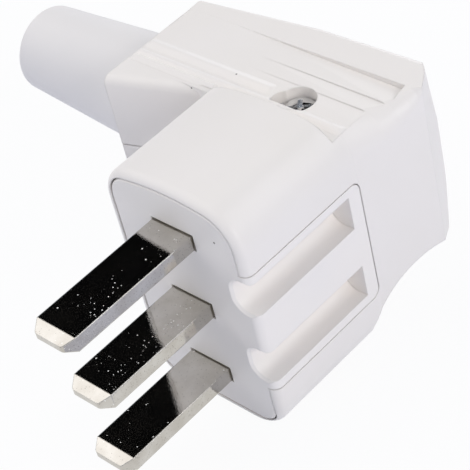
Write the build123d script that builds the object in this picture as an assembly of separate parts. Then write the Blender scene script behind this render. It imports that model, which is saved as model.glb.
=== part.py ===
from build123d import *
import math
import os

# An angled three-pin cooker plug, in millimetres.
# The origin is the centre of the front face, on the axis of the middle pin.
# The pins point along -Y, the housing lies behind the face along +Y, and +Z is up.
# +X is the side with the guide grooves, and the outlet for the cable points along -X.

# Clearances
seam = 0.2              # between two mouldings that fit together
slip = 0.1              # around a metal piece in its pocket
thread_fit = 0.05       # around a screw in its own hole

# Pins
pin_pitch = 16.0
pin_width = 9.2
pin_thickness = 3.0
pin_reach = 26.9        # from the face to the tip
earth_lead = 2.8        # how much further the earth pin reaches
tip_length = 2.2
tip_thickness = 1.2
tip_width = 6.4
tip_corner = 0.8
shoulder_width = 11.6
shoulder_depth = 2.0
tail_width = 7.0
root_gap = 0.35         # around each pin where it leaves the face
root_gap_depth = 1.0

# Front block of the cover
block_half_width = 16.25
block_crown = 26.1
crown_radius = 57.0
block_bottom = -26.0
block_depth = 26.4
block_corners = {"top_left": 7.6, "top_right": 8.2, "bottom_right": 8.0, "bottom_left": 5.5}
front_rounding = 1.8

# Insert
insert_half_width = 14.2
insert_crown = 24.6
insert_bottom = -24.0
insert_depth = 24.0
insert_corners = {"top_left": 5.0, "top_right": 6.4, "bottom_right": 3.8, "bottom_left": 4.0}
seam_chamfer = 0.3
plate_depth = 9.0
insert_wall = 2.2
insert_top_wall = 2.6
cavity_corner = 2.0
groove_floor_wall = 1.75

# Side panel of the insert, with the guide grooves
panel_top = 12.9
panel_bottom = -14.0
panel_depth = 28.75
panel_corner = 1.8
groove_width = 7.2
groove_depth = 4.9
groove_floor_radius = 2.7
groove_length = 25.8
groove_heights = (7.6, -8.5)
groove_lip = 0.5        # sloping edge around each groove's mouth

# Rear body of the cover
wall = 2.2
platform = 22.4
outlet_end = -36.0
outlet_front = 20.1
outlet_bottom = -8.2
parting_z = 6.6                 # where the outlet's lower half is split off
chamber_back = 45.0             # depth of the hollow inside
outlet_join = (-17.0, 26.3)     # where the slanted outlet face meets the front block
outlet_edge_rounding = 1.7
inner_side = -16.5              # plane where the outlet joins the deep part of the body
flare = 0.2                     # sideways growth for each millimetre of depth
flare_end = 44.7
strip_turn = 27.5               # degrees between the narrow rear strip and the side
# The rear top edge before rounding: x, y, and height over the platform where the ramp starts and ends
back_edge = ((-36.0, 47.6, 0.05, 0.2), (-8.0, 50.1, 0.35, 1.2), (21.4, 50.5, 0.65, 1.8))
back_swell = (1.5, 10.5)        # how far the back swells out behind that edge, and at what height
back_foot = (-2.4, -12.4)       # where it ends below, measured the same way
back_limit = 52.6               # depth of the housing
# Rounding between the back and the narrow strip, seen from above: height, radius
corner_rounding = ((-80.0, 4.0), (10.0, 4.0), (26.0, 12.5))
top_rounding = 1.5
# How the rounded side edge tightens towards the rear corner: depth, height of its lower edge, height of its top
edge_run = ((36.0, 17.1, 22.46), (39.5, 18.0, 22.5), (42.1, 19.3, 22.75), (43.9, 20.8, 23.1), (45.0, 22.6, 23.5),
            (56.0, 25.2, 26.0))
scoop_radius = 18.0
scoop_centre = (42.0, -30.0)

body_start = 18.0               # how far the rear body reaches forward inside the block
body_root = 10.0                # half width of that hidden part on the outlet side

# Finger ribs on the platform
rib_end = 16.2
rear_step = 44.1
margin_start = 38.6             # where the smooth margin beside the rear step starts to rise
tread_lines = (32.3, 35.8, 39.2, rear_step)
tread_drops = (0.2, 0.3, 0.5)
tread_fade = -14.0
ridge_lines = ((29.5, 13.6), (28.1, -15.0))
ridge_radius = 0.75
ridge_sink = 0.3

# Cable outlet and sleeve
cable_y = 34.2
cable_z = 8.2
cable_radius = 4.4
sleeve_root_radius = 11.1
sleeve_end_radius = 8.8
sleeve_length = 35.1
sleeve_bore_radius = 6.5
sleeve_end_rounding = 1.2
neck_radius = 8.6
collar_radius = 10.6
collar_length = 2.5

# Cord clamp
web_thickness = 1.5
web_ease = 0.5              # around the cable where it passes the web
clamp_width = 5.5
strap_thickness = 1.6
hook_height = 1.5
flange_thickness = 2.2
flange_end = 44.6
clamp_screw_y = 42.4
clamp_screw_length = 12.0

# Cover screw
screw_x = 1.2
screw_y = 32.7
screw_end = 7.0             # height of the screw's tip
recess_radius = 3.5
recess_lobe = (-1.1, 31.4)
recess_lobe_radius = 2.3
recess_depth = 4.0
recess_lobe_depth = 2.6
boss_radius = 5.2
lug_top = 13.0
lug_thickness = 5.6
lug_left = -4.0
lug_front = 26.4
lug_back = 37.8

# Carrier and terminals
carrier_rib_half = 3.0
carrier_depth = 14.8
carrier_wall = 2.0
carrier_side = 1.6
terminal_size = (11.0, 11.0, 9.0)
terminal_setback = 2.3      # from the plate to the front of a terminal
tail_hold = 4.0             # how deep a pin's tail sits in its terminal
wire_bore_radius = 2.5
wire_bore_depth = 6.4
terminal_chamfer = 0.4
terminal_screw_length = 5.5
terminal_screw_stand = 1.2  # from the terminal to the seat of the screw's head
driver_ease = 0.3           # around a terminal screw's head in its access hole
carrier_screw_grip = 5.5    # how far a carrier screw reaches into the plate
hole_run = 0.5              # how much deeper a blind screw hole is than its screw

# Outlet cover fixing
pillar_x = -20.1
pillar_y = 42.2
pillar_radius = 3.3
head_sink = 2.2
outlet_screw_length = 17.0
tongue_reach = 3.0
tongue_thickness = 1.8
tongue_span = (31.0, 43.0)

# Screws: shank radius, head radius, head height
m3 = (1.45, 2.5, 2.0)
m35 = (1.75, 3.3, 2.2)
m4 = (2.0, 3.1, 2.0)
slot_width = 0.9
slot_depth = 0.9
slot_turn = 35.0
cross_slot_length = 4.3
shank_chamfer = 0.3
head_chamfer = 0.5
nut_across = 6.0
nut_thickness = 2.6

cutter = 80.0               # longer than the plug in every direction
over = 1.0                  # how far a cut runs past the surface it opens


def between(low, high):
    """A rectangular block from its lowest to its highest corner."""
    size = [b - a for a, b in zip(low, high)]
    middle = [(a + b) / 2 for a, b in zip(low, high)]
    return Pos(*middle) * Box(*size)


def bar(start, end, radius):
    """A round bar between two points."""
    run = Vector(*end) - Vector(*start)
    return extrude(Plane(origin=start, z_dir=run) * Circle(radius), run.length)


def crowned_outline(half_width, crown, bottom, corners):
    """The front view of the block or insert: straight sides, a crowned top and four rounded corners."""
    drop = crown_radius - math.sqrt(crown_radius ** 2 - half_width ** 2)
    shoulder = crown - drop
    top = ThreePointArc((-half_width, shoulder), (0, crown), (half_width, shoulder))
    left, right = -half_width, half_width
    rest = Polyline((right, shoulder), (right, bottom), (left, bottom), (left, shoulder))
    face = make_face(Curve() + [top, rest])
    places = {
        "top_left": (-half_width, shoulder),
        "top_right": (half_width, shoulder),
        "bottom_right": (half_width, bottom),
        "bottom_left": (-half_width, bottom),
    }
    for name, place in places.items():
        corner = face.vertices().sort_by_distance((place[0], place[1], 0))[0]
        face = fillet(corner, corners[name])
    return face


def backwards(outline, start, end):
    """A front-view outline carried straight back from y = start to y = end."""
    return extrude(Plane.XZ.offset(-start) * outline, start - end)


def sideways(outline, start, end):
    """A side-view outline, drawn in y and z, carried from x = start to x = end."""
    return extrude(Plane.YZ.offset(start) * outline, end - start)


def upwards(outline, start, end):
    """A plan outline carried up from z = start to z = end."""
    return extrude(Plane.XY.offset(start) * outline, end - start)


def end_ring(rod, end):
    """The round edge of a bar at one of its ends."""
    return rod.edges().filter_by(GeomType.CIRCLE).sort_by(lambda ring: (ring.center() - end).length)[0]


def screw(seat, direction, length, size, slots=1):
    """A pan-head screw whose head sits on seat and whose shank runs along direction."""
    shank_radius, head_radius, head_height = size
    way = Vector(*direction)
    seat = Vector(*seat)
    shank = bar(seat, seat + way * length, shank_radius)
    shank = chamfer(end_ring(shank, seat + way * length), shank_chamfer)
    head = bar(seat, seat - way * head_height, head_radius)
    head = chamfer(end_ring(head, seat - way * head_height), head_chamfer)
    top = Plane(origin=seat - way * head_height, z_dir=way * -1)
    slot_length = 2 * head_radius if slots == 1 else cross_slot_length
    for k in range(slots):
        head -= top * (Rot(0, 0, slot_turn + 90 * k) * Box(slot_length, slot_width, 2 * slot_depth))
    return shank + head


def side_x(y):
    """Where the right side of the housing lies at a given depth."""
    return block_half_width + flare * max(0.0, y - panel_depth)


def plan_outline(rounding):
    """The housing behind the block, seen from above, with a rounded corner between the back and the strip."""
    corner = (side_x(flare_end), flare_end)
    run = (back_limit - flare_end) * math.tan(math.radians(strip_turn))
    rear = (corner[0] - run, back_limit)
    outline = Polygon(
        (outlet_end, outlet_front),
        outlet_join,
        (-body_root, outlet_join[1]),
        (-body_root, body_start),
        (block_half_width, body_start),
        (block_half_width, panel_depth),
        corner,
        rear,
        (outlet_end, back_limit),
        align=None,
    )
    vertex = outline.vertices().sort_by_distance((rear[0], rear[1], 0))[0]
    return fillet(vertex, rounding)


def plan_inside(depth):
    """The same outline, moved inwards by a depth into the walls."""
    return offset(plan_outline(corner_rounding[0][1]), -depth, kind=Kind.INTERSECTION)


def side_profile(back_y, step, rise):
    """The body's side view: flat top, rear step, rounded arched back and finger scoop."""
    centre_y, centre_z = scoop_centre
    start_y = centre_y - math.sqrt(scoop_radius ** 2 - (block_bottom - centre_z) ** 2)
    middle = math.radians(140)
    mid_point = (centre_y + scoop_radius * math.cos(middle), centre_z + scoop_radius * math.sin(middle))
    summit = (centre_y, centre_z + scoop_radius)
    foot = (back_y + back_foot[0], back_foot[1])
    swell = (back_y + back_swell[0], back_swell[1])
    top_back = (back_y, platform + rise)
    front = body_start
    outline = Curve() + [
        Line((front, block_bottom), (start_y, block_bottom)),
        ThreePointArc((start_y, block_bottom), mid_point, summit),
        Line(summit, foot),
        ThreePointArc(foot, swell, top_back),
        Line(top_back, (rear_step, platform + step)),
        Line((rear_step, platform + step), (rear_step, platform)),
        Line((rear_step, platform), (front, platform)),
        Line((front, platform), (front, block_bottom)),
    ]
    face = make_face(outline)
    corner = face.vertices().sort_by_distance((top_back[0], top_back[1], 0))[0]
    return fillet(corner, top_rounding)


def rear_body():
    """The part of the housing behind the block, solid."""
    sections = [Plane.YZ.offset(x) * side_profile(y, step, rise) for x, y, step, rise in back_edge]
    body = loft(sections, ruled=True) + margin()
    outlines = [Plane.XY.offset(z) * plan_outline(radius) for z, radius in corner_rounding]
    body &= loft(outlines, ruled=True)
    return body & side_envelope() - side_rounding()


def margin():
    """The smooth rise right of the ribs, which fills the rear step there."""
    near, far = back_edge[1], back_edge[2]
    sections = []
    for x in (rib_end, far[0]):
        share = (x - near[0]) / (far[0] - near[0])
        top = platform + near[2] + share * (far[2] - near[2])
        middle = ((margin_start + rear_step) / 2, platform + (top - platform) / 4)
        rise = ThreePointArc((margin_start, platform), middle, (rear_step, top))
        under = Polyline((rear_step, top), (rear_step, platform - over), (margin_start, platform - over),
                         (margin_start, platform))
        sections.append(Plane.YZ.offset(x) * make_face(Curve() + [rise, under]))
    return loft(sections, ruled=True)


def side_envelope():
    """What the rear body may fill in the front view: the shallow outlet and the flared deep part."""
    shallow = between((outlet_end, 0, outlet_bottom), (0, cutter, cutter))
    half = block_half_width
    deep = Polygon((inner_side, block_bottom), (half, block_bottom), (half, cutter), (inner_side, cutter),
                   align=None)
    for x, name in ((half, "bottom_right"), (inner_side, "bottom_left")):
        corner = deep.vertices().sort_by_distance((x, block_bottom, 0))[0]
        deep = fillet(corner, block_corners[name])
    straight = backwards(deep, 0, panel_depth)
    left_half = between((inner_side, 0, -cutter), (half / 2, cutter, cutter)) & backwards(deep, 0, cutter)
    right_face = Plane.XZ.offset(-panel_depth) * (deep & Pos(half / 2, 0) * Rectangle(half, 4 * cutter))
    flared = extrude(right_face, cutter / 2, dir=(flare, 1, 0))
    return shallow + straight + left_half + flared


def side_rounding():
    """What the rounded top right edge takes away: as wide as the block's edge, then tighter to the rear."""
    radius = block_corners["top_right"]
    centre_x = block_half_width - radius
    centre_z = block_crown - crown_radius + math.sqrt((crown_radius - radius) ** 2 - centre_x ** 2)
    first = (block_depth, centre_z, centre_z + radius)
    stations = [first, *edge_run]
    for y in (body_start, panel_depth):
        share = max(0, (y - block_depth) / (edge_run[0][0] - block_depth))
        low, high = [a + share * (b - a) for a, b in zip(first[1:], edge_run[0][1:])]
        stations.append((y, low, high))
    sections = []
    for y, low, high in sorted(stations):
        centre = (side_x(y) - (high - low), low)
        bend = math.radians(45)
        middle = (centre[0] + (high - low) * math.cos(bend), centre[1] + (high - low) * math.sin(bend))
        arc = ThreePointArc((side_x(y), low), middle, (centre[0], high))
        around = Polyline((centre[0], high), (centre[0], cutter), (cutter, cutter), (cutter, low),
                          (side_x(y), low))
        face = make_face(Curve() + [arc, around])
        sections.append(Plane.XZ.offset(-y) * face)
    return loft(sections, ruled=True)


def front_block():
    """The deep front block, solid, with its rounded front edge."""
    outline = crowned_outline(block_half_width, block_crown, block_bottom, block_corners)
    body = backwards(outline, 0, block_depth)
    rim = body.faces().sort_by(Axis.Y)[0].edges()
    return fillet(rim, front_rounding)


def tread(front, back, drop):
    """One sloping tread between two steps, deepest at its right end."""
    fade = tread_fade - (rib_end - tread_fade)
    top = platform + over
    section = Polygon((front, platform), (back, platform - drop), (back, top), (front, top), align=None)
    return loft([Plane.YZ.offset(rib_end) * section, Vertex(fade, back, platform + drop)])


def ridges():
    """Small round ridges along the front of the platform."""
    made = []
    for y, end in ridge_lines:
        made.append(bar((outlet_end + wall, y, platform - ridge_sink), (end, y, platform - ridge_sink),
                        ridge_radius))
    return made


def chamber():
    """The hollow inside the housing, behind the insert."""
    plan = plan_inside(wall)
    space = upwards(plan, outlet_bottom + wall, platform - wall)
    front = insert_depth + seam
    centre_y, centre_z = scoop_centre
    reach = scoop_radius + wall
    summit = (centre_y, centre_z + reach)
    arc_points = []
    for y in (front, (front + centre_y) / 2):
        arc_points.append((y, centre_z + math.sqrt(reach ** 2 - (y - centre_y) ** 2)))
    over_scoop = ThreePointArc(arc_points[0], arc_points[1], summit)
    ceiling = platform - wall
    around = Polyline(summit, (chamber_back, summit[1]), (chamber_back, ceiling), (front, ceiling),
                      arc_points[0])
    deep = sideways(make_face(Curve() + [over_scoop, around]), -block_half_width + wall, side_x(flare_end))
    length = between((-cutter, front, -cutter), (cutter, chamber_back, cutter))
    return (space & length) + (deep & upwards(plan, -cutter, cutter))


def groove(height):
    """One guide groove with rounded floor corners, open at the front."""
    section = Pos(block_half_width, height) * Rectangle(2 * groove_depth, groove_width)
    floor = block_half_width - groove_depth
    for z in (height - groove_width / 2, height + groove_width / 2):
        corner = section.vertices().sort_by_distance((floor, z, 0))[0]
        section = fillet(corner, groove_floor_radius)
    wide = offset(section, 2 * groove_lip)
    mouth = loft([Plane.XZ.offset(groove_lip) * wide, Plane.XZ.offset(-groove_lip) * section])
    return backwards(section, -over, groove_length) + mouth


def panel_block(gap):
    """The insert's side panel with rounded rear corners, grown by a gap for its opening."""
    low, high = panel_bottom - gap, panel_top + gap
    depth = panel_depth + gap
    outline = Polygon((-5, low), (depth, low), (depth, high), (-5, high), align=None)
    for z in (low, high):
        corner = outline.vertices().sort_by_distance((depth, z, 0))[0]
        outline = fillet(corner, panel_corner + gap)
    inside = block_half_width - groove_depth - groove_floor_wall
    return sideways(outline, inside - gap, cutter)


def sleeve_holes():
    """The hole for the sleeve's neck and the pocket for its collar, straight-sided below the cable's axis."""
    inside = outlet_end + wall
    made = []
    for start, end, radius in ((outlet_end - over, inside + over, neck_radius + slip),
                               (inside, inside + collar_length + seam, collar_radius + seam)):
        made.append(bar((start, cable_y, cable_z), (end, cable_y, cable_z), radius))
        made.append(between((start, cable_y - radius, parting_z - seam / 2), (end, cable_y + radius, cable_z)))
    return made


def clamp_start():
    """Where the cord clamp begins, just inside the sleeve's collar."""
    return outlet_end + wall + collar_length + seam


def saddle():
    """The block above the cable that the clamp bridge closes, with the bridge's hook slot."""
    start = clamp_start()
    end = start + web_thickness + 2 * seam + clamp_width
    block = between((start, outlet_front, cable_z + seam / 2),
                    (end, chamber_back + wall / 2, platform - wall / 2))
    block &= upwards(plan_inside(wall / 2), -cutter, cutter)
    block -= bar((start - over, cable_y, cable_z), (end + over, cable_y, cable_z), cable_radius)
    strap_front = cable_y - cable_radius - strap_thickness
    slot = between((start + web_thickness, strap_front - seam, cable_z),
                   (end + over, cable_y - cable_radius + over, cable_z + hook_height + seam))
    hole = bar((clamp_middle(), clamp_screw_y, 0), (clamp_middle(), clamp_screw_y, platform - wall),
               m3[0] + thread_fit)
    return block - slot - hole


def clamp_middle():
    """The middle of the clamp bridge along the cable."""
    return clamp_start() + web_thickness + seam + clamp_width / 2


def make_cover(shell):
    """The housing: hollow, open for the insert at the front and right, without its outlet's lower half."""
    pocket_outline = crowned_outline(insert_half_width + seam, insert_crown + seam, insert_bottom - seam,
                                     insert_corners)
    pocket = backwards(pocket_outline, -over, insert_depth + seam)
    cover = shell - pocket - panel_block(seam) - chamber()
    cover += saddle()
    floor = platform - recess_depth
    boss = bar((screw_x, screw_y, lug_top + seam), (screw_x, screw_y, platform - wall / 2), boss_radius)
    pillar = bar((pillar_x, pillar_y, parting_z), (pillar_x, pillar_y, platform - wall / 2), pillar_radius)
    cover = cover + boss + pillar
    cover -= between((-cutter, 0, -cutter), (inner_side, cutter, parting_z + seam / 2))
    tongue_slot = between((inner_side - over, tongue_span[0] - seam, outlet_bottom),
                          (-block_half_width + wall + over, tongue_span[1] + seam, outlet_bottom + wall + over))
    cover = cover - tongue_slot - sleeve_holes()
    cover -= bar((screw_x, screw_y, floor), (screw_x, screw_y, cutter), recess_radius)
    lobe_x, lobe_y = recess_lobe
    cover -= bar((lobe_x, lobe_y, platform - recess_lobe_depth), (lobe_x, lobe_y, cutter), recess_lobe_radius)
    cover -= bar((screw_x, screw_y, 0), (screw_x, screw_y, cutter), m35[0] + slip)
    pillar_hole_end = outlet_screw_seat() + outlet_screw_length + hole_run
    cover -= bar((pillar_x, pillar_y, 0), (pillar_x, pillar_y, pillar_hole_end), m3[0] + thread_fit)
    for front, back, drop in zip(tread_lines, tread_lines[1:], tread_drops):
        cover -= tread(front, back, drop)
    return cover


def outlet_screw_seat():
    """The height at which the head of the outlet cover's screw seats, up inside the pillar."""
    return outlet_bottom + head_sink + m3[2]


def make_outlet_cover(shell):
    """The lower half of the outlet, with its screw pillar, cable web and locating tongue."""
    top = parting_z - seam / 2
    cover = shell & between((-cutter, 0, -cutter), (inner_side - seam, cutter, top))
    cover -= chamber()
    start = clamp_start()
    web = between((start, outlet_front, outlet_bottom + wall / 2),
                  (start + web_thickness, chamber_back + wall / 2, top))
    web &= upwards(plan_inside(wall / 2), -cutter, cutter)
    web -= bar((start - over, cable_y, cable_z), (start + web_thickness + over, cable_y, cable_z),
               cable_radius + web_ease)
    pillar = bar((pillar_x, pillar_y, outlet_bottom + wall / 2), (pillar_x, pillar_y, top), pillar_radius)
    tongue = between((inner_side - wall, tongue_span[0], outlet_bottom + seam),
                     (inner_side + tongue_reach, tongue_span[1], outlet_bottom + seam + tongue_thickness))
    cover = cover + web + pillar + tongue
    cover -= sleeve_holes()
    cover -= bar((pillar_x, pillar_y, outlet_bottom - over), (pillar_x, pillar_y, outlet_screw_seat()),
                 m3[1] + slip)
    cover -= bar((pillar_x, pillar_y, outlet_bottom), (pillar_x, pillar_y, cutter), m3[0] + slip)
    return cover


def pin_height(index):
    """The height of one of the three pins, from the top."""
    return pin_pitch * (1 - index)


def cavity_outline(gap):
    """The insert's hollow seen from behind, shrunk by a gap for the carrier that fills it."""
    left = -insert_half_width + insert_wall + gap
    right = block_half_width - groove_depth - groove_floor_wall - gap
    bottom = insert_bottom + insert_wall + gap
    top = insert_crown - insert_top_wall - gap
    middle = Pos((left + right) / 2, (bottom + top) / 2)
    return middle * RectangleRounded(right - left, top - bottom, cavity_corner - gap)


def make_insert(shell):
    """The insert: front plate with pin slots, side panel with guide grooves, hollow behind, and a nut lug."""
    outline = crowned_outline(insert_half_width, insert_crown, insert_bottom, insert_corners)
    body = backwards(outline, 0, insert_depth)
    rim = body.faces().sort_by(Axis.Y)[0].edges()
    body = chamfer(rim, seam_chamfer)
    panel = panel_block(0) & shell
    lug = between((lug_left, lug_front, lug_top - lug_thickness),
                  (block_half_width - wall - seam, lug_back, lug_top))
    body = body + panel + lug
    body -= backwards(cavity_outline(0), plate_depth, insert_depth + over)
    for height in groove_heights:
        body -= groove(height)
    for index in range(3):
        z = pin_height(index)
        body -= slot_block(pin_width + 2 * slip, pin_thickness + 2 * slip, -over, plate_depth, z)
        body -= slot_block(pin_width + 2 * root_gap, pin_thickness + 2 * root_gap, -over, root_gap_depth, z)
        body -= slot_block(shoulder_width + 2 * slip, pin_thickness + 2 * slip, plate_depth - shoulder_depth,
                           plate_depth + over, z)
        y = terminal_screw_y()
        body -= bar((-block_half_width, y, z), (0, y, z), m4[1] + driver_ease)
    for side in (1, -1):
        z = side * pin_pitch / 2
        body -= bar((0, plate_depth - carrier_screw_grip - hole_run, z), (0, plate_depth + over, z),
                    m3[0] + thread_fit)
    body -= bar((screw_x, screw_y, 0), (screw_x, screw_y, cutter), m35[0] + slip)
    body -= upwards(Pos(screw_x, screw_y) * nut_outline(slip), lug_top - lug_thickness - over,
                    lug_top - lug_thickness + nut_thickness)
    return body


def nut_outline(gap):
    """The hexagon of the nut, grown by a gap for its pocket."""
    return RegularPolygon(nut_across / 2 + gap, 6, major_radius=False)


def slot_block(width, height, start, end, z):
    """A flat slot along Y around a pin."""
    return between((-width / 2, start, z - height / 2), (width / 2, end, z + height / 2))


def make_pin(reach):
    """A flat pin: chamfered tip, shoulder that the insert traps, and a tail for the terminal."""
    half, tip_half = pin_width / 2, tip_width / 2
    tip_start = tip_length - reach
    tail_end = plate_depth + terminal_setback + tail_hold
    plan = Polygon(
        (-tip_half, -reach), (tip_half, -reach), (half, tip_start), (half, plate_depth - shoulder_depth),
        (shoulder_width / 2, plate_depth - shoulder_depth), (shoulder_width / 2, plate_depth),
        (tail_width / 2, plate_depth), (tail_width / 2, tail_end), (-tail_width / 2, tail_end),
        (-tail_width / 2, plate_depth), (-shoulder_width / 2, plate_depth),
        (-shoulder_width / 2, plate_depth - shoulder_depth), (-half, plate_depth - shoulder_depth),
        (-half, tip_start), align=None)
    for x in (-tip_half, tip_half):
        corner = plan.vertices().sort_by_distance((x, -reach, 0))[0]
        plan = fillet(corner, tip_corner)
    thick, thin = pin_thickness / 2, tip_thickness / 2
    side = Polygon((-reach, -thin), (tip_start, -thick), (tail_end, -thick), (tail_end, thick),
                   (tip_start, thick), (-reach, thin), align=None)
    return upwards(plan, -thick, thick) & sideways(side, -shoulder_width, shoulder_width)


def terminal_screw_y():
    """The depth of the terminal screws, over the wire bores."""
    return plate_depth + terminal_setback + terminal_size[1] - wire_bore_depth / 2


def make_terminal():
    """A brass terminal block with a slot for the pin's tail, a wire bore and a screw hole."""
    width, depth, height = terminal_size
    front = plate_depth + terminal_setback
    block = between((-width / 2, front, -height / 2), (width / 2, front + depth, height / 2))
    block = chamfer(block.edges(), terminal_chamfer)
    block -= slot_block(tail_width + thread_fit, pin_thickness + thread_fit, front - over, front + tail_hold, 0)
    block -= bar((0, front + depth - wire_bore_depth, 0), (0, front + depth + over, 0), wire_bore_radius)
    block -= bar((-width, terminal_screw_y(), 0), (0, terminal_screw_y(), 0), m4[0] + thread_fit)
    return block


def make_carrier():
    """The comb behind the pins: a wall that traps their shoulders and two ribs between the terminals."""
    start = plate_depth
    end = start + carrier_depth
    room = backwards(cavity_outline(seam), start, end)
    right = block_half_width - groove_depth - groove_floor_wall - seam
    comb = room & between((-cutter, start, -cutter), (cutter, start + carrier_wall, cutter))
    comb += room & between((right - carrier_side, start, -cutter), (right, end, cutter))
    for side in (1, -1):
        z = side * pin_pitch / 2
        comb += room & between((-cutter, start, z - carrier_rib_half), (cutter, end, z + carrier_rib_half))
        comb -= bar((0, start - over, z), (0, end + over, z), m3[0] + slip)
    for index in range(3):
        z = pin_height(index)
        comb -= slot_block(tail_width + 2 * slip, pin_thickness + 2 * slip, start - over,
                           start + carrier_wall + over, z)
    return comb


def make_sleeve():
    """The conical sleeve: a long taper outside, a neck through the wall and a collar that holds it."""
    inside = wall + collar_length
    end = -sleeve_length
    profile = Polygon(
        (end, sleeve_bore_radius), (end, sleeve_end_radius), (0, sleeve_root_radius), (0, neck_radius),
        (wall, neck_radius), (wall, collar_radius), (inside, collar_radius), (inside, sleeve_bore_radius),
        align=None)
    corner = profile.vertices().sort_by_distance((end, sleeve_end_radius, 0))[0]
    profile = fillet(corner, sleeve_end_rounding)
    solid = revolve(profile, Axis.X)
    return Pos(outlet_end, cable_y, cable_z) * solid


def make_bridge():
    """The strap under the cable, with a hook at the front and a screw flange at the back."""
    start = clamp_middle() - clamp_width / 2
    end = clamp_middle() + clamp_width / 2
    outer = cable_radius + strap_thickness
    ring = bar((start, cable_y, cable_z), (end, cable_y, cable_z), outer)
    ring -= bar((start - over, cable_y, cable_z), (end + over, cable_y, cable_z), cable_radius)
    ring &= between((start, 0, -cutter), (end, cutter, cable_z - seam / 2))
    hook = between((start, cable_y - outer, cable_z - over),
                   (end, cable_y - cable_radius, cable_z + hook_height))
    flange = between((start, cable_y + outer - strap_thickness / 2, cable_z - seam / 2 - flange_thickness),
                     (end, flange_end, cable_z - seam / 2))
    bridge = ring + hook + flange
    return bridge - bar((clamp_middle(), clamp_screw_y, 0), (clamp_middle(), clamp_screw_y, cutter),
                        m3[0] + slip)


def make_nut():
    """The hexagon nut in the insert's lug."""
    bottom = lug_top - lug_thickness
    nut = upwards(Pos(screw_x, screw_y) * nut_outline(0), bottom, bottom + nut_thickness)
    return nut - bar((screw_x, screw_y, 0), (screw_x, screw_y, cutter), m35[0] + thread_fit)


def build_all():
    """Every piece of the plug by name."""
    rear = rear_body()
    edge_middle = ((outlet_end + outlet_join[0]) / 2, (outlet_front + outlet_join[1]) / 2, platform)
    slanted = rear.edges().sort_by_distance(edge_middle)[0]
    rear = fillet(slanted, outlet_edge_rounding)
    shell = front_block() + rear
    pieces = {
        "cover": make_cover(shell) + ridges(),
        "contact_insert": make_insert(shell),
        "outlet_cover": make_outlet_cover(shell),
        "terminal_carrier": make_carrier(),
        "cable_sleeve": make_sleeve(),
        "clamp_bridge": make_bridge(),
        "cover_screw_nut": make_nut(),
    }
    head_seat = platform - recess_depth
    pieces["cover_screw"] = screw((screw_x, screw_y, head_seat), (0, 0, -1), head_seat - screw_end, m35,
                                  slots=2)
    flange_bottom = cable_z - seam / 2 - flange_thickness
    pieces["clamp_screw"] = screw((clamp_middle(), clamp_screw_y, flange_bottom), (0, 0, 1),
                                  clamp_screw_length, m3)
    pieces["outlet_cover_screw"] = screw((pillar_x, pillar_y, outlet_screw_seat()), (0, 0, 1),
                                         outlet_screw_length, m3)
    for side, name in ((1, "upper"), (-1, "lower")):
        z = side * pin_pitch / 2
        pieces["carrier_screw_" + name] = screw((0, plate_depth + carrier_depth, z), (0, -1, 0),
                                                carrier_depth + carrier_screw_grip, m3)
    pole = make_terminal()
    for index, name in enumerate(("earth", "neutral", "live")):
        lift = Pos(0, 0, pin_height(index))
        reach = pin_reach + (earth_lead if name == "earth" else 0)
        pieces["pin_" + name] = lift * make_pin(reach)
        pieces["terminal_" + name] = lift * pole
        seat = (-terminal_size[0] / 2 - terminal_screw_stand, terminal_screw_y(), 0)
        pieces["terminal_screw_" + name] = lift * screw(seat, (1, 0, 0), terminal_screw_length, m4)
    return pieces


os.makedirs("parts", exist_ok=True)
for name, piece in build_all().items():
    export_step(piece, "parts/" + name + ".step")
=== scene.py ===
import math
from functools import partial

import bmesh
import bpy
from mathutils import Matrix, Vector


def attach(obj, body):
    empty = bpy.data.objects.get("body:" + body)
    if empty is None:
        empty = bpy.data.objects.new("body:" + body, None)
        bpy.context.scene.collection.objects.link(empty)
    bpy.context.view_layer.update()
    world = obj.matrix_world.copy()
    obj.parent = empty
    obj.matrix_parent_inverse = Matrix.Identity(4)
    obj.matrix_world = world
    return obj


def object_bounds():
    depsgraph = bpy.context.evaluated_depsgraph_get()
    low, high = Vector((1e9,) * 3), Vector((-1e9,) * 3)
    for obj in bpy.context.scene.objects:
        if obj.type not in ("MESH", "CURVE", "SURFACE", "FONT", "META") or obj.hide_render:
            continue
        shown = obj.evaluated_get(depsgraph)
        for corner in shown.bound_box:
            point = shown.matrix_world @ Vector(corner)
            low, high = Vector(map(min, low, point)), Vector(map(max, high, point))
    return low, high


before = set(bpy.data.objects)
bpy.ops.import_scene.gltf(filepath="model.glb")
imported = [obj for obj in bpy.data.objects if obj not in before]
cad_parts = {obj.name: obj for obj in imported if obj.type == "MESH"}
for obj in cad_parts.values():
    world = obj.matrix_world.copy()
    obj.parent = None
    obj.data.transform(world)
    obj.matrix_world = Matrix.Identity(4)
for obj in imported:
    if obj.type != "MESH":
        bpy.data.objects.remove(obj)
cad_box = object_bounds()

MM = 0.001

# Colours of the finishes, as linear values
SHELL_WHITE = (0.858, 0.820, 0.785)
SHELL_WARM = (0.846, 0.807, 0.766)
INSERT_WHITE = (0.885, 0.842, 0.800)
INSERT_COOL = (0.862, 0.828, 0.796)
SLEEVE_WHITE = (0.815, 0.785, 0.765)
SLEEVE_SHADE = (0.790, 0.764, 0.750)
CARRIER_CREAM = (0.700, 0.680, 0.620)
CARRIER_DARK = (0.640, 0.615, 0.550)
NICKEL = (0.590, 0.570, 0.530)
NICKEL_DULL = (0.510, 0.485, 0.440)
NICKEL_SPECK = (0.920, 0.920, 0.900)
BRASS = (0.760, 0.560, 0.240)
BRASS_DULL = (0.560, 0.400, 0.170)
ZINC = (0.600, 0.605, 0.610)
ZINC_DULL = (0.430, 0.435, 0.440)
BRIGHT_ZINC = (0.820, 0.825, 0.830)
DUST = (0.180, 0.160, 0.150)

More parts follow.
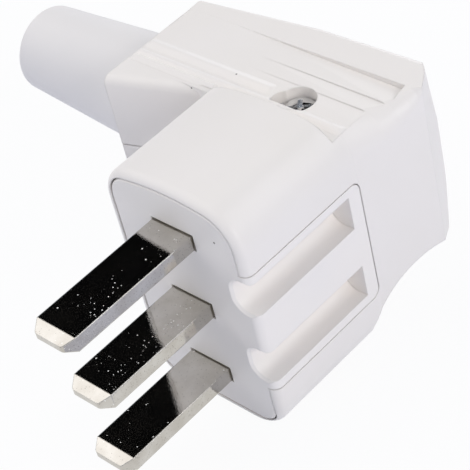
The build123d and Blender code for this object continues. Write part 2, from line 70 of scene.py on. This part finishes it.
# Colours and lights of the stage
FLOOR_PALE = (0.74, 0.76, 0.86)
FLOOR_GLOW_SHARE = 0.94
BLACK_CARD = (0.004, 0.004, 0.004)
GREY_CARD = (0.76, 0.77, 0.86)
WHITE_CARD = (0.8, 0.8, 0.8)
WHITE = (1.0, 1.0, 1.0)
WARM_LIGHT = (1.0, 0.96, 0.92)
SOFT_WARM_LIGHT = (1.0, 0.97, 0.94)
SKY_COOL = (0.80, 0.87, 1.0)
SKY_STRENGTH = 0.47
LAMP_TARGET = (0.0, 0.02, 0.0)

# Camera: its place, its axes, and its lens and frame in millimetres
CAMERA_PLACE = (0.183698, -0.130721, 0.204926)
CAMERA_RIGHT = (0.72552, 0.66031, -0.19394)
CAMERA_UP = (-0.33846, 0.58773, 0.73486)
CAMERA_BACK = (0.59922, -0.46751, 0.64990)
CAMERA_LENS = 133.77
CAMERA_FRAME = 36.0


# Node helpers

def feed(tree, socket, value):
    """Links a value that is a socket itself, and sets a plain one."""
    if hasattr(value, "is_output"):
        tree.links.new(value, socket)
    else:
        socket.default_value = value


def math_node(tree, operation, *values):
    """A Math node on sockets or numbers; gives its result."""
    node = tree.nodes.new("ShaderNodeMath")
    node.operation = operation
    for socket, value in zip(node.inputs, values):
        feed(tree, socket, value)
    return node.outputs[0]


def ramp(tree, value, low=0.0, high=1.0, to_low=0.0, to_high=1.0, shape="LINEAR"):
    """Spreads a value from one range over another, held at its ends."""
    node = tree.nodes.new("ShaderNodeMapRange")
    node.interpolation_type = shape
    node.clamp = True
    limits = {"From Min": low, "From Max": high, "To Min": to_low, "To Max": to_high}
    for name, number in limits.items():
        node.inputs[name].default_value = number
    tree.links.new(value, node.inputs["Value"])
    return node.outputs["Result"]


def noise(tree, vector, scale, detail=3.0, roughness=0.5):
    """A Noise Texture; gives its value."""
    node = tree.nodes.new("ShaderNodeTexNoise")
    for name, value in {"Scale": scale, "Detail": detail, "Roughness": roughness}.items():
        feed(tree, node.inputs[name], value)
    tree.links.new(vector, node.inputs["Vector"])
    return node.outputs["Fac"]


def shader_group(name, inputs, outputs):
    """A shader node group that reads a vector; gives the tree, its input sockets and its output sockets."""
    tree = bpy.data.node_groups.new(name, "ShaderNodeTree")
    tree.interface.new_socket("Vector", in_out="INPUT", socket_type="NodeSocketVector")
    for label, kind, value in inputs:
        tree.interface.new_socket(label, in_out="INPUT", socket_type=kind).default_value = value
    for label in outputs:
        tree.interface.new_socket(label, in_out="OUTPUT", socket_type="NodeSocketFloat")
    return tree, tree.nodes.new("NodeGroupInput").outputs, tree.nodes.new("NodeGroupOutput").inputs


# Effects that the finishes share

def mould_texture():
    """Moulded plastic: a fine grain and slow waves in height, and a slow drift in tone."""
    inputs = (("Grain Scale", "NodeSocketFloat", 2600.0), ("Wave Scale", "NodeSocketFloat", 55.0),
              ("Wave Share", "NodeSocketFloat", 0.7))
    tree, given, out = shader_group("Mould Texture", inputs, ("Height", "Tone", "Gloss"))
    grain = noise(tree, given["Vector"], given["Grain Scale"], detail=2.0)
    waves = noise(tree, given["Vector"], given["Wave Scale"], detail=2.0, roughness=0.4)
    grain_share = math_node(tree, "SUBTRACT", 1.0, given["Wave Share"])
    height = math_node(tree, "ADD", math_node(tree, "MULTIPLY", waves, given["Wave Share"]),
                       math_node(tree, "MULTIPLY", grain, grain_share))
    tree.links.new(height, out["Height"])
    tree.links.new(ramp(tree, waves, low=0.3, high=0.7), out["Tone"])
    tree.links.new(ramp(tree, grain, low=0.3, high=0.7), out["Gloss"])
    return tree


def dust_specks():
    """A few tiny specks, far apart and of several sizes; gives a mask that is 1 on a speck."""
    inputs = (("Scale", "NodeSocketFloat", 300.0), ("Size", "NodeSocketFloat", 0.1),
              ("Share", "NodeSocketFloat", 0.1))
    tree, given, out = shader_group("Dust Specks", inputs, ("Mask",))
    smallest = 0.35
    cells = tree.nodes.new("ShaderNodeTexVoronoi")
    tree.links.new(given["Vector"], cells.inputs["Vector"])
    tree.links.new(given["Scale"], cells.inputs["Scale"])
    draw = tree.nodes.new("ShaderNodeSeparateColor")
    tree.links.new(cells.outputs["Color"], draw.inputs["Color"])
    chosen = math_node(tree, "LESS_THAN", draw.outputs["Red"], given["Share"])
    spread = math_node(tree, "ADD", draw.outputs["Green"], smallest)
    size = math_node(tree, "MULTIPLY", given["Size"], spread)
    near = math_node(tree, "LESS_THAN", cells.outputs["Distance"], size)
    tree.links.new(math_node(tree, "MULTIPLY", chosen, near), out["Mask"])
    return tree


def drawn_lines():
    """Drawn or turned metal: fine lines in height and as a mask, and cloudy patches."""
    inputs = (("Across Scale", "NodeSocketVector", (900.0, 40.0, 900.0)),
              ("Cloud Scale", "NodeSocketFloat", 140.0))
    tree, given, out = shader_group("Drawn Lines", inputs, ("Height", "Lines", "Cloud"))
    stretch = tree.nodes.new("ShaderNodeVectorMath")
    stretch.operation = "MULTIPLY"
    tree.links.new(given["Vector"], stretch.inputs[0])
    tree.links.new(given["Across Scale"], stretch.inputs[1])
    lines = noise(tree, stretch.outputs["Vector"], scale=1.0, detail=3.0, roughness=0.6)
    cloud = noise(tree, given["Vector"], given["Cloud Scale"], detail=4.0, roughness=0.55)
    tree.links.new(lines, out["Height"])
    tree.links.new(ramp(tree, lines, low=0.35, high=0.65), out["Lines"])
    tree.links.new(ramp(tree, cloud, low=0.35, high=0.65), out["Cloud"])
    return tree


EFFECTS = {"mould": mould_texture(), "specks": dust_specks(), "lines": drawn_lines()}


# Parts of a material

def place_effect(tree, effect, vector, **values):
    """A shared effect placed in a material, with its own values; gives its outputs."""
    node = tree.nodes.new("ShaderNodeGroup")
    node.node_tree = EFFECTS[effect]
    tree.links.new(vector, node.inputs["Vector"])
    for name, value in values.items():
        node.inputs[name.replace("_", " ")].default_value = value
    return node.outputs


def blend_colours(tree, share, first, second):
    """Two colours or colour sockets mixed by a share; gives the colour."""
    node = tree.nodes.new("ShaderNodeMix")
    node.data_type = "RGBA"
    tree.links.new(share, node.inputs["Factor"])
    sockets = [socket for socket in node.inputs if socket.type == "RGBA"]
    for socket, colour in zip(sockets, (first, second)):
        feed(tree, socket, (*colour, 1.0) if isinstance(colour, tuple) else colour)
    return [socket for socket in node.outputs if socket.type == "RGBA"][0]


def new_material(name):
    """A material with a Principled BSDF; gives the material, its tree and the shader's inputs."""
    made = bpy.data.materials.new(name)
    made.use_nodes = True
    return made, made.node_tree, made.node_tree.nodes["Principled BSDF"].inputs


def place_on_piece(tree):
    """The place on the piece, in its own coordinates."""
    return tree.nodes.new("ShaderNodeTexCoord").outputs["Object"]


def raise_height(tree, shader, height, distance, strength, edge):
    """Feeds a height into the shader's normal, over edges that are rounded by a radius."""
    rounded = tree.nodes.new("ShaderNodeBevel")
    rounded.samples = 6
    rounded.inputs["Radius"].default_value = edge
    bump = tree.nodes.new("ShaderNodeBump")
    bump.inputs["Distance"].default_value = distance
    bump.inputs["Strength"].default_value = strength
    tree.links.new(height, bump.inputs["Height"])
    tree.links.new(rounded.outputs["Normal"], bump.inputs["Normal"])
    tree.links.new(bump.outputs["Normal"], shader["Normal"])


# Finishes

def moulded(name, light, dark, gloss, edge, wave, dust):
    """A moulded plastic finish."""
    made, tree, shader = new_material(name)
    place = place_on_piece(tree)
    body = place_effect(tree, "mould", place, Wave_Share=0.8)
    specks = place_effect(tree, "specks", place, Scale=210.0, Size=0.04, Share=dust)
    colour = blend_colours(tree, body["Tone"], light, dark)
    colour = blend_colours(tree, specks["Mask"], colour, DUST)
    tree.links.new(colour, shader["Base Color"])
    roughness = ramp(tree, body["Gloss"], to_low=gloss - 0.03, to_high=gloss + 0.03)
    tree.links.new(roughness, shader["Roughness"])
    shader["Specular IOR Level"].default_value = 0.3
    raise_height(tree, shader, body["Height"], distance=wave, strength=0.35, edge=edge)
    return made


def plated(name):
    """Bright nickel plating: a fine pebbled surface with haze, pits and bright specks."""
    made, tree, shader = new_material(name)
    place = place_on_piece(tree)
    pebbles = place_effect(tree, "lines", place, Across_Scale=(3200.0, 2600.0, 3200.0), Cloud_Scale=260.0)
    fine = place_effect(tree, "specks", place, Scale=2100.0, Size=0.22, Share=0.34)
    large = place_effect(tree, "specks", place, Scale=1250.0, Size=0.14, Share=0.15)
    pits = place_effect(tree, "specks", place, Scale=3300.0, Size=0.3, Share=0.22)
    patches = ramp(tree, noise(tree, place, scale=170.0, detail=1.0), low=0.50, high=0.62)
    fine_patches = math_node(tree, "MULTIPLY", fine["Mask"], patches)
    specks = math_node(tree, "MAXIMUM", fine_patches, large["Mask"])
    pit_shade = math_node(tree, "MULTIPLY", pits["Mask"], 0.4)
    colour = blend_colours(tree, pebbles["Cloud"], NICKEL, NICKEL_DULL)
    colour = blend_colours(tree, pit_shade, colour, DUST)
    colour = blend_colours(tree, specks, colour, NICKEL_SPECK)
    tree.links.new(colour, shader["Base Color"])
    shader["Metallic"].default_value = 1.0
    haze = ramp(tree, pebbles["Cloud"], to_low=0.03, to_high=0.06)
    roughness = math_node(tree, "ADD", haze, math_node(tree, "MULTIPLY", specks, 0.6))
    tree.links.new(roughness, shader["Roughness"])
    raise_height(tree, shader, pebbles["Height"], distance=0.006 * MM, strength=1.0, edge=0.3 * MM)
    return made


def turned(name, bright, dull, gloss):
    """Turned or drawn metal: brass terminals and plated screws."""
    made, tree, shader = new_material(name)
    place = place_on_piece(tree)
    lines = place_effect(tree, "lines", place, Across_Scale=(700.0, 700.0, 2400.0), Cloud_Scale=320.0)
    tree.links.new(blend_colours(tree, lines["Cloud"], bright, dull), shader["Base Color"])
    shader["Metallic"].default_value = 1.0
    roughness = ramp(tree, lines["Lines"], to_low=gloss, to_high=gloss + 0.14)
    tree.links.new(roughness, shader["Roughness"])
    raise_height(tree, shader, lines["Height"], distance=0.02 * MM, strength=0.3, edge=0.12 * MM)
    return made


FINISHES = {
    "shell": moulded("white shell", SHELL_WHITE, SHELL_WARM,
                     gloss=0.36, edge=0.35 * MM, wave=0.05 * MM, dust=0.30),
    "insert": moulded("white insert", INSERT_WHITE, INSERT_COOL,
                      gloss=0.36, edge=0.25 * MM, wave=0.05 * MM, dust=0.15),
    "sleeve": moulded("satin sleeve", SLEEVE_WHITE, SLEEVE_SHADE,
                      gloss=0.48, edge=0.3 * MM, wave=0.06 * MM, dust=0.04),
    "carrier": moulded("cream carrier", CARRIER_CREAM, CARRIER_DARK,
                       gloss=0.55, edge=0.2 * MM, wave=0.05 * MM, dust=0.02),
    "plating": plated("nickel plating"),
    "brass": turned("turned brass", BRASS, BRASS_DULL, gloss=0.22),
    "zinc": turned("zinc plated steel", ZINC, ZINC_DULL, gloss=0.26),
    "bright zinc": turned("bright zinc", BRIGHT_ZINC, ZINC, gloss=0.02),
}

PIECES = {
    "shell": ("cover", "outlet_cover"),
    "insert": ("contact_insert",),
    "sleeve": ("cable_sleeve",),
    "carrier": ("terminal_carrier", "clamp_bridge"),
    "plating": ("pin_earth", "pin_neutral", "pin_live"),
    "brass": ("terminal_earth", "terminal_neutral", "terminal_live"),
    "zinc": ("terminal_screw_earth", "terminal_screw_neutral", "terminal_screw_live",
             "carrier_screw_upper", "carrier_screw_lower", "cover_screw_nut", "clamp_screw",
             "outlet_cover_screw"),
    "bright zinc": ("cover_screw",),
}

for finish, nodes in PIECES.items():
    for node in nodes:
        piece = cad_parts[node]
        piece.data.materials.clear()
        piece.data.materials.append(FINISHES[finish])


# Soft forms of the housing's platform, all in millimetres

PLATFORM = 22.4             # height of the platform
SUNK = 0.45                 # how far these pieces reach into the housing below
SKIN = 0.01                 # how far an edge lies under the surface it runs into, or over the one it covers

# Soft ribs: left end, right end, place in depth, half width, height
SOFT_RIBS = (
    (-35.9, -4.4, 32.6, 1.5, 0.42),
    (-35.9, 14.3, 29.5, 1.3, 0.54),
    (-35.9, -13.9, 28.1, 1.15, 0.52),
)
LEFT_FADE = 0.7             # the length in which a rib rises at its left end
RIGHT_FADE = 0.85           # and in which it falls at its right end
RIB_STEPS = (160, 14)       # faces along and across a rib

# The screw's recess and its lobe: place, place in depth, radius
RECESS = ((1.2, 32.7, 3.5), (-1.1, 31.4, 2.3))
OUTLET_CORNER = (-17.0, 26.3)   # where the outlet's front edge starts to slant forwards
OUTLET_SLANT = 6.2 / 19.0
OUTLET_ROUNDING = 1.05      # the rounding along that edge
BEYOND = 100.0              # farther off than any edge

STEP_LINE = 44.1            # depth of the rear step
# The step at two places: place, height of the step, depth and height of the housing's back edge
STEP_ENDS = ((-36.0, 0.05, 47.6, 0.2), (-8.0, 0.35, 50.1, 1.2))
BLEND_ENDS = (-35.9, -12.5)     # where the step is blended away
BLEND_FADE = -25.0          # where the blend starts to narrow
BLEND_WIDTH = 7.5           # its greatest width before the step
BLEND_FOOT = 0.25           # its least width before the step
BLEND_LAP = 0.5             # how far it lies over the step
BLEND_DIP = 0.05            # how far it sinks into the step at its back edge
BLEND_STEPS = (80, 24)      # faces along and across it


def chain(tree, geometry, kind, **inputs):
    """A geometry node behind another's geometry, with links to its other inputs; gives its geometry."""
    node = tree.nodes.new(kind)
    tree.links.new(geometry, node.inputs["Geometry"])
    for name, socket in inputs.items():
        tree.links.new(socket, node.inputs[name])
    return node.outputs["Geometry"]


def field_part(tree, kind, name, axis):
    """One coordinate of a vector that every point of a mesh has, such as its position."""
    split = tree.nodes.new("ShaderNodeSeparateXYZ")
    tree.links.new(tree.nodes.new(kind).outputs[name], split.inputs["Vector"])
    return split.outputs[axis]


def fine_bar(tree):
    """A closed bar of size 1 around the origin, with many faces and a smooth top; gives its geometry."""
    bar = tree.nodes.new("GeometryNodeMeshCube")
    bar.inputs["Size"].default_value = (1.0, 1.0, 1.0)
    for name, faces in zip(("Vertices X", "Vertices Y", "Vertices Z"), (*RIB_STEPS, 1)):
        bar.inputs[name].default_value = faces + 1
    facing = field_part(tree, "GeometryNodeInputNormal", "Normal", "Z")
    upwards = math_node(tree, "GREATER_THAN", facing, 0.5)
    return chain(tree, bar.outputs["Mesh"], "GeometryNodeSetShadeSmooth", Selection=upwards)


def rib_edges(tree, x, depth, half):
    """A rib's near and far edge, clear of the outlet's rounded edge and the screw's recess."""
    do = partial(math_node, tree)
    corner_x, corner_y = OUTLET_CORNER
    slant = do("MULTIPLY", do("MINIMUM", do("SUBTRACT", x, corner_x), 0.0), OUTLET_SLANT)
    near = do("MAXIMUM", do("SUBTRACT", depth, half), do("ADD", slant, corner_y + OUTLET_ROUNDING))
    far = do("ADD", depth, half)
    for hole_x, hole_y, radius in RECESS:
        aside = do("ABSOLUTE", do("SUBTRACT", x, hole_x))
        reach = do("SQRT", do("MAXIMUM", do("SUBTRACT", radius ** 2, do("MULTIPLY", aside, aside)), 0.0))
        past_hole = do("MULTIPLY", do("SUBTRACT", 1.0, do("LESS_THAN", aside, radius)), BEYOND)
        far = do("MINIMUM", far, do("ADD", do("SUBTRACT", hole_y, reach), past_hole))
    return near, far


def soft_rib_tree():
    """A soft rib by geometry nodes: a bar that swells in a wave across it and fades at its ends."""
    tree = bpy.data.node_groups.new("Soft Rib", "GeometryNodeTree")
    for label in ("Left", "Right", "Depth", "Half Width", "Rise"):
        tree.interface.new_socket(label, in_out="INPUT", socket_type="NodeSocketFloat")
    tree.interface.new_socket("Finish", in_out="INPUT", socket_type="NodeSocketMaterial")
    tree.interface.new_socket("Rib", in_out="OUTPUT", socket_type="NodeSocketGeometry")
    given = tree.nodes.new("NodeGroupInput").outputs
    left, right, depth, half = (given[name] for name in ("Left", "Right", "Depth", "Half Width"))
    do = partial(math_node, tree)

    along, across, upright = (field_part(tree, "GeometryNodeInputPosition", "Position", axis)
                              for axis in "XYZ")
    is_top = do("GREATER_THAN", upright, 0.0)
    x = do("MULTIPLY_ADD", do("ADD", along, 0.5), do("SUBTRACT", right, left), left)
    near, far = rib_edges(tree, x, depth, half)
    y = do("MULTIPLY_ADD", do("ADD", across, 0.5), do("SUBTRACT", far, near), near)

    rise_left = ramp(tree, do("SUBTRACT", x, left), high=LEFT_FADE, shape="SMOOTHSTEP")
    rise_right = ramp(tree, do("SUBTRACT", right, x), high=RIGHT_FADE, shape="SMOOTHSTEP")
    off_middle = do("MINIMUM", do("DIVIDE", do("ABSOLUTE", do("SUBTRACT", y, depth)), half), 1.0)
    wave = do("MULTIPLY_ADD", do("COSINE", do("MULTIPLY", off_middle, math.pi)), 0.5, 0.5)
    swell = do("MULTIPLY", do("MULTIPLY", rise_left, rise_right), do("MULTIPLY", wave, given["Rise"]))
    z = do("MULTIPLY_ADD", is_top, do("ADD", swell, SUNK - SKIN), PLATFORM - SUNK)

    place = tree.nodes.new("ShaderNodeCombineXYZ")
    for axis, value in zip("XYZ", (x, y, z)):
        tree.links.new(do("MULTIPLY", value, MM), place.inputs[axis])
    rib = chain(tree, fine_bar(tree), "GeometryNodeSetPosition", Position=place.outputs["Vector"])
    rib = chain(tree, rib, "GeometryNodeRealizeInstances")
    rib = chain(tree, rib, "GeometryNodeSetMaterial", Material=given["Finish"])
    tree.links.new(rib, tree.nodes.new("NodeGroupOutput").inputs["Rib"])
    return tree


def add_to_housing(name, mesh):
    """Adds a piece of the housing from its mesh."""
    piece = bpy.data.objects.new(name, mesh)
    bpy.context.scene.collection.objects.link(piece)
    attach(piece, "root")


def mesh_from_tree(tree, values):
    """A plain mesh from a geometry nodes tree and values for its named inputs."""
    holder = bpy.data.objects.new("holder", bpy.data.meshes.new("holder"))
    bpy.context.scene.collection.objects.link(holder)
    maker = holder.modifiers.new("maker", "NODES")
    maker.node_group = tree
    for item in tree.interface.items_tree:
        if item.in_out == "INPUT":
            maker[item.identifier] = values[item.name]
    graph = bpy.context.evaluated_depsgraph_get()
    mesh = bpy.data.meshes.new_from_object(holder.evaluated_get(graph), depsgraph=graph)
    bpy.data.objects.remove(holder)
    return mesh


def ease(value):
    """A smooth rise from 0 to 1."""
    value = min(max(value, 0.0), 1.0)
    return value * value * (3.0 - 2.0 * value)


def blend_extent(x):
    """How much of the blend is left at a place, as a share, and the depth of its front edge there."""
    share = 1.0 - ease((x - BLEND_FADE) / (BLEND_ENDS[1] - BLEND_FADE))
    return share, STEP_LINE - BLEND_FOOT - BLEND_WIDTH * share


def blend_height(x, y):
    """The height of the blend: up to the step's edge, then along the step."""
    (left, left_step, left_back, left_top), (right, right_step, right_back, right_top) = STEP_ENDS
    along = (x - left) / (right - left)
    step = left_step + along * (right_step - left_step)
    back = left_back + along * (right_back - left_back)
    top = left_top + along * (right_top - left_top)
    past_step = y - STEP_LINE
    if past_step > 0.0:
        climb = past_step / (back - STEP_LINE) * (top - step)
        return PLATFORM + step + climb + SKIN - BLEND_DIP * past_step / BLEND_LAP
    share, front = blend_extent(x)
    return PLATFORM - SKIN + (step + 2.0 * SKIN) * share * ease((y - front) / (STEP_LINE - front))


def step_blend_mesh():
    """A closed sheet at the foot of the rear step, so that the step rises out of a smooth surface."""
    sheet = bmesh.new()
    along, across = BLEND_STEPS
    left, right = BLEND_ENDS
    top, base = [], []
    for i in range(along + 1):
        x = left + (right - left) * i / along
        front = blend_extent(x)[1]
        back = STEP_LINE + BLEND_LAP
        places = [front + (back - front) * j / across for j in range(across + 1)]
        top.append([sheet.verts.new((x * MM, y * MM, blend_height(x, y) * MM)) for y in places])
        base.append([sheet.verts.new((x * MM, y * MM, (PLATFORM - SUNK) * MM)) for y in places])
    for i in range(along):
        for j in range(across):
            sheet.faces.new((top[i][j], top[i + 1][j], top[i + 1][j + 1], top[i][j + 1])).smooth = True
            sheet.faces.new((base[i][j], base[i][j + 1], base[i + 1][j + 1], base[i + 1][j]))
        for j in (0, across):
            sheet.faces.new((top[i][j], base[i][j], base[i + 1][j], top[i + 1][j]))
    for i in (0, along):
        for j in range(across):
            sheet.faces.new((top[i][j], top[i][j + 1], base[i][j + 1], base[i][j]))
    bmesh.ops.recalc_face_normals(sheet, faces=sheet.faces)
    mesh = bpy.data.meshes.new("step_blend")
    sheet.to_mesh(mesh)
    sheet.free()
    mesh.materials.append(FINISHES["shell"])
    return mesh


rib_tree = soft_rib_tree()
for number, (left, right, depth, half, rise) in enumerate(SOFT_RIBS, 1):
    sizes = {"Left": left, "Right": right, "Depth": depth, "Half Width": half, "Rise": rise,
             "Finish": FINISHES["shell"]}
    add_to_housing("soft_rib_%d" % number, mesh_from_tree(rib_tree, sizes))
add_to_housing("step_blend", step_blend_mesh())


# Floor and cards

def flat_sheet(name, centre, across, along, finish):
    """A flat stage sheet around a centre, with its half sides given as vectors."""
    centre, across, along = Vector(centre), Vector(across), Vector(along)
    corners = (centre - across - along, centre + across - along,
               centre + across + along, centre - across + along)
    mesh = bpy.data.meshes.new(name)
    mesh.from_pydata([tuple(corner) for corner in corners], [], [(0, 1, 2, 3)])
    mesh.materials.append(finish)
    sheet = bpy.data.objects.new(name, mesh)
    bpy.context.scene.collection.objects.link(sheet)
    return sheet


def matt_finish(name, shade, glow=0.0):
    """A finish in one shade, without gloss, lit from within by a glow."""
    made, _, shader = new_material(name)
    shader["Base Color"].default_value = (*shade, 1.0)
    shader["Roughness"].default_value = 1.0
    shader["Specular IOR Level"].default_value = 0.0
    shader["Emission Strength"].default_value = glow
    return made


def floor_finish():
    """Matt and pale; the camera, metal and glass see it as nearly white, with faint shadows."""
    made = matt_finish("matt floor", FLOOR_PALE)
    tree = made.node_tree
    path = tree.nodes.new("ShaderNodeLightPath").outputs
    seen = math_node(tree, "MAXIMUM", path["Is Camera Ray"], path["Is Glossy Ray"])
    seen = math_node(tree, "MAXIMUM", seen, path["Is Transmission Ray"])
    glow = tree.nodes.new("ShaderNodeEmission")
    glow.inputs["Color"].default_value = (*WHITE, 1.0)
    glow.inputs["Strength"].default_value = 1.0
    mix = tree.nodes.new("ShaderNodeMixShader")
    tree.links.new(math_node(tree, "MULTIPLY", seen, FLOOR_GLOW_SHARE), mix.inputs["Fac"])
    tree.links.new(tree.nodes["Principled BSDF"].outputs["BSDF"], mix.inputs[1])
    tree.links.new(glow.outputs["Emission"], mix.inputs[2])
    tree.links.new(mix.outputs["Shader"], tree.nodes["Material Output"].inputs["Surface"])
    return made


def reflected_card(name, centre, across, along, shade, glow=0.0):
    """A card that only reflections show."""
    card = flat_sheet(name, centre, across, along, matt_finish(name, shade, glow))
    card.visible_camera = False
    card.visible_diffuse = False
    card.visible_shadow = False
    card.visible_transmission = False


FLOOR_DROP = 0.05 * MM      # clearance under the lowest piece
FLOOR_REACH = 4.0           # half of its side, in metres
floor_place = (0, 0, cad_box[0][2] - FLOOR_DROP)
flat_sheet("floor", floor_place, (FLOOR_REACH, 0, 0), (0, FLOOR_REACH, 0), floor_finish())

# Black high on the left, grey low on the right, white high on the right
reflected_card("black card", centre=(-0.62, 0.49, 0.67), across=(0.19, 0.24, 0.0),
               along=(0.18, -0.14, 0.27), shade=BLACK_CARD)
reflected_card("grey card", centre=(0.18, 0.16, -0.0255), across=(0.15, 0.0, 0.0),
               along=(0.0, 0.22, 0.0), shade=GREY_CARD)
reflected_card("white card", centre=(0.70, 0.55, 0.66), across=(0.36, 0.0, -0.38),
               along=(-0.08, 0.20, -0.08), shade=WHITE_CARD, glow=1.9)


# World, lamps and camera

def set_world():
    """A soft even surround, which the camera sees as white."""
    world = bpy.data.worlds.new("studio")
    bpy.context.scene.world = world
    world.use_nodes = True
    tree = world.node_tree
    back = tree.nodes["Background"].inputs
    path = tree.nodes.new("ShaderNodeLightPath").outputs
    seen = math_node(tree, "MAXIMUM", path["Is Camera Ray"], path["Is Transmission Ray"])
    tree.links.new(blend_colours(tree, seen, SKY_COOL, WHITE), back["Color"])
    tree.links.new(ramp(tree, seen, to_low=SKY_STRENGTH), back["Strength"])


def softbox(name, place, size, power, colour):
    """A square soft lamp that looks at the plug."""
    lamp = bpy.data.lights.new(name, "AREA")
    lamp.shape = "SQUARE"
    lamp.size = size
    lamp.energy = power
    lamp.color = colour
    holder = bpy.data.objects.new(name, lamp)
    bpy.context.scene.collection.objects.link(holder)
    holder.location = place
    view = Vector(LAMP_TARGET) - Vector(place)
    holder.rotation_euler = view.to_track_quat("-Z", "Y").to_euler()


def set_camera():
    """The photograph's viewpoint."""
    data = bpy.data.cameras.new("camera")
    data.sensor_fit = "HORIZONTAL"
    data.sensor_width = CAMERA_FRAME
    data.lens = CAMERA_LENS
    data.clip_start = 0.01
    data.clip_end = 20.0
    camera = bpy.data.objects.new("camera", data)
    bpy.context.scene.collection.objects.link(camera)
    turn = Matrix((CAMERA_RIGHT, CAMERA_UP, CAMERA_BACK)).transposed()
    camera.matrix_world = Matrix.Translation(CAMERA_PLACE) @ turn.to_4x4()
    bpy.context.scene.camera = camera


set_world()
softbox("overhead left", place=(-0.62, -0.16, 0.80), size=1.4, power=8.0, colour=WARM_LIGHT)
softbox("right side", place=(0.95, -0.10, 0.40), size=0.5, power=4.65, colour=SOFT_WARM_LIGHT)
softbox("back left", place=(-0.50, 0.95, 0.35), size=0.5, power=2.4, colour=WHITE)
set_camera()
bpy.context.scene.view_settings.view_transform = "Standard"
